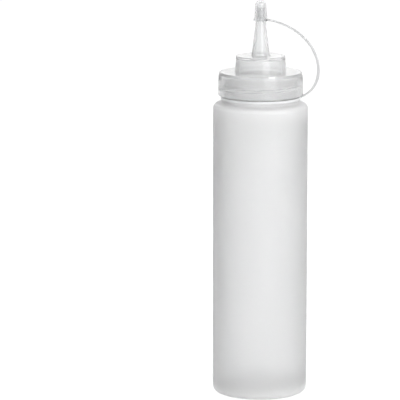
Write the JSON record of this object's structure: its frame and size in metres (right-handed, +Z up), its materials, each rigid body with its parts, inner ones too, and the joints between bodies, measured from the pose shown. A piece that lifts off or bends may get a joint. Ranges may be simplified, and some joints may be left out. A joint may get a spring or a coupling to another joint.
{
  "type": "sauce bottle",
  "caption": "Round translucent squeeze bottle with a screw cap, a stepped cone nozzle and a tip cap that flips off on a curved strap.",
  "frame": {"origin": "centre of the flat ring that the bottle stands on", "axes": "+Z up along the bottle, +X towards the strap, the picture's camera looks along +Y"},
  "size_m": [0.0674, 0.06, 0.2515],
  "materials": {
    "bottle_plastic": "frosted translucent, satin",
    "cap_plastic": "cloudy translucent, smooth",
    "liner_foam": "fine foam",
    "tether_plastic": "clear to cloudy, smooth"
  },
  "bodies": {
    "bottle": {"bottle": "bottle_plastic"},
    "liner": {"cap_liner": "liner_foam"},
    "cap": {"screw_cap": "cap_plastic"},
    "ring": {"tether_ring": "tether_plastic"},
    "strap_1": {"strap_link_1": "tether_plastic"},
    "strap_2": {"strap_link_2": "tether_plastic"},
    "strap_3": {"strap_link_3": "tether_plastic"},
    "strap_4": {"strap_link_4": "tether_plastic"},
    "strap_5": {"strap_link_5": "tether_plastic"},
    "tip_cap": {"tip_cap": "tether_plastic"}
  },
  "joints": [
    {"name": "cap_lift", "type": "slide", "parent": "bottle", "child": "liner", "axis": [0, 0, 1], "range_m": [0, 0.0161]},
    {"name": "cap_turn", "type": "hinge", "parent": "liner", "child": "cap", "pos_m": [0, 0, 0.1916], "axis": [0, 0, 1], "range_deg": [0, 1440]},
    {"name": "tether_swivel", "type": "hinge", "parent": "liner", "child": "ring", "pos_m": [0, 0, 0.1898], "axis": [0, 0, 1], "continuous": true},
    {"name": "tip_cap_flip", "type": "hinge", "parent": "ring", "child": "strap_1", "pos_m": [0.02882, 0, 0.19181], "axis": [0, -1, 0], "range_deg": [0, 34.4]},
    {"name": "strap_flex_2", "type": "hinge", "parent": "strap_1", "child": "strap_2", "pos_m": [0.03529, 0, 0.21464], "axis": [0, -1, 0], "range_deg": [-17.01, 0]},
    {"name": "strap_flex_3", "type": "hinge", "parent": "strap_2", "child": "strap_3", "pos_m": [0.03129, 0, 0.22275], "axis": [0, -1, 0], "range_deg": [-38.11, 0]},
    {"name": "strap_flex_4", "type": "hinge", "parent": "strap_3", "child": "strap_4", "pos_m": [0.02517, 0, 0.22953], "axis": [0, -1, 0], "range_deg": [-38.9, 0]},
    {"name": "strap_flex_5", "type": "hinge", "parent": "strap_4", "child": "strap_5", "pos_m": [0.01757, 0, 0.23465], "axis": [0, -1, 0], "range_deg": [-38.51, 0]},
    {"name": "strap_flex_6", "type": "hinge", "parent": "strap_5", "child": "tip_cap", "pos_m": [0.00903, 0, 0.238], "axis": [0, -1, 0], "range_deg": [-37.58, 0]}
  ],
  "couplings": [
    {"joint": "cap_lift", "follows": "cap_turn", "m_per_rad": 0.00063662},
    {"joint": "strap_flex_2", "follows": "tip_cap_flip", "ratio": -0.49157},
    {"joint": "strap_flex_3", "follows": "tip_cap_flip", "ratio": -1.1049},
    {"joint": "strap_flex_4", "follows": "tip_cap_flip", "ratio": -1.1279},
    {"joint": "strap_flex_5", "follows": "tip_cap_flip", "ratio": -1.1166},
    {"joint": "strap_flex_6", "follows": "tip_cap_flip", "ratio": -1.0895}
  ]
}
